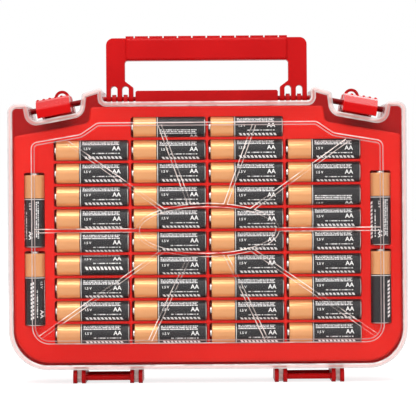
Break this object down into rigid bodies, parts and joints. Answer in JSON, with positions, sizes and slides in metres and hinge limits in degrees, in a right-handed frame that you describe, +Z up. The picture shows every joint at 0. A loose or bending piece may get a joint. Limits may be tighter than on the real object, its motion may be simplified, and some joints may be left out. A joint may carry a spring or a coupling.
{
  "type": "battery storage case",
  "caption": "Upright red battery case with clear hinged lids front and back, snap latches, a folding handle and pockets filled with AA cells.",
  "frame": {"origin": "centre of the case's width and depth, on the plane under its hinge feet", "axes": "+X to the right along the width, +Y from the front to the back, +Z up towards the handle"},
  "size_m": [0.2714, 0.065, 0.2391],
  "materials": {
    "red_shell": "moulded red plastic, satin gloss",
    "red_handle": "moulded deep red plastic, satin gloss",
    "red_latch": "moulded red plastic, satin gloss",
    "clear_lid": "clear polished plastic with frosty edges",
    "cell_label": "printed film sleeve, copper band and charcoal body"
  },
  "bodies": {
    "case": {"aa_cell_left_lower": "cell_label", "aa_cell_left_upper": "cell_label", "aa_cell_right_lower": "cell_label", "aa_cell_right_upper": "cell_label", "aa_cell_row01_column2": "cell_label", "aa_cell_row01_column3": "cell_label", "aa_cell_row02_column1": "cell_label", "aa_cell_row02_column2": "cell_label", "aa_cell_row02_column3": "cell_label", "aa_cell_row02_column4": "cell_label", "aa_cell_row03_column1": "cell_label", "aa_cell_row03_column2": "cell_label", "aa_cell_row03_column3": "cell_label", "aa_cell_row03_column4": "cell_label", "aa_cell_row04_column1": "cell_label", "aa_cell_row04_column2": "cell_label", "aa_cell_row04_column3": "cell_label", "aa_cell_row04_column4": "cell_label", "aa_cell_row05_column1": "cell_label", "aa_cell_row05_column2": "cell_label", "aa_cell_row05_column3": "cell_label", "aa_cell_row05_column4": "cell_label", "aa_cell_row06_column1": "cell_label", "aa_cell_row06_column2": "cell_label", "aa_cell_row06_column3": "cell_label", "aa_cell_row06_column4": "cell_label", "aa_cell_row07_column1": "cell_label", "aa_cell_row07_column2": "cell_label", "aa_cell_row07_column3": "cell_label", "aa_cell_row07_column4": "cell_label", "aa_cell_row08_column1": "cell_label", "aa_cell_row08_column2": "cell_label", "aa_cell_row08_column3": "cell_label", "aa_cell_row08_column4": "cell_label", "aa_cell_row09_column1": "cell_label", "aa_cell_row09_column2": "cell_label", "aa_cell_row09_column3": "cell_label", "aa_cell_row09_column4": "cell_label", "aa_cell_row10_column1": "cell_label", "aa_cell_row10_column2": "cell_label", "aa_cell_row10_column3": "cell_label", "aa_cell_row10_column4": "cell_label", "back_tray": "red_shell", "case_frame": "red_shell", "front_tray": "red_shell", "handle_pin_left": "red_handle", "handle_pin_right": "red_handle", "hinge_rods": "red_latch", "latch_pins": "red_latch"},
    "front_lid": {"front_lid": "clear_lid"},
    "back_lid": {"back_lid": "clear_lid"},
    "handle": {"handle": "red_handle"},
    "latch_front_left": {"latch_front_left": "red_latch"},
    "latch_front_right": {"latch_front_right": "red_latch"},
    "latch_back_left": {"latch_back_left": "red_latch"},
    "latch_back_right": {"latch_back_right": "red_latch"}
  },
  "joints": [
    {"name": "front_lid_hinge", "type": "hinge", "parent": "case", "child": "front_lid", "pos_m": [0, -0.015, 0.0038], "axis": [1, 0, 0], "range_deg": [0, 160]},
    {"name": "back_lid_hinge", "type": "hinge", "parent": "case", "child": "back_lid", "pos_m": [0, 0.015, 0.0038], "axis": [-1, 0, 0], "range_deg": [0, 160]},
    {"name": "handle_fold", "type": "hinge", "parent": "case", "child": "handle", "pos_m": [0, 0, 0.1958], "axis": [1, 0, 0], "range_deg": [-80, 80]},
    {"name": "latch_front_left_pivot", "type": "hinge", "parent": "case", "child": "latch_front_left", "pos_m": [-0.1049, -0.008, 0.19027], "axis": [-0.9833, 0, -0.1822], "range_deg": [0, 95]},
    {"name": "latch_back_left_pivot", "type": "hinge", "parent": "case", "child": "latch_back_left", "pos_m": [-0.1049, 0.008, 0.19027], "axis": [0.9833, 0, 0.1822], "range_deg": [0, 95]},
    {"name": "latch_front_right_pivot", "type": "hinge", "parent": "case", "child": "latch_front_right", "pos_m": [0.1049, -0.008, 0.19027], "axis": [-0.9833, 0, 0.1822], "range_deg": [0, 95]},
    {"name": "latch_back_right_pivot", "type": "hinge", "parent": "case", "child": "latch_back_right", "pos_m": [0.1049, 0.008, 0.19027], "axis": [0.9833, 0, -0.1822], "range_deg": [0, 95]}
  ]
}
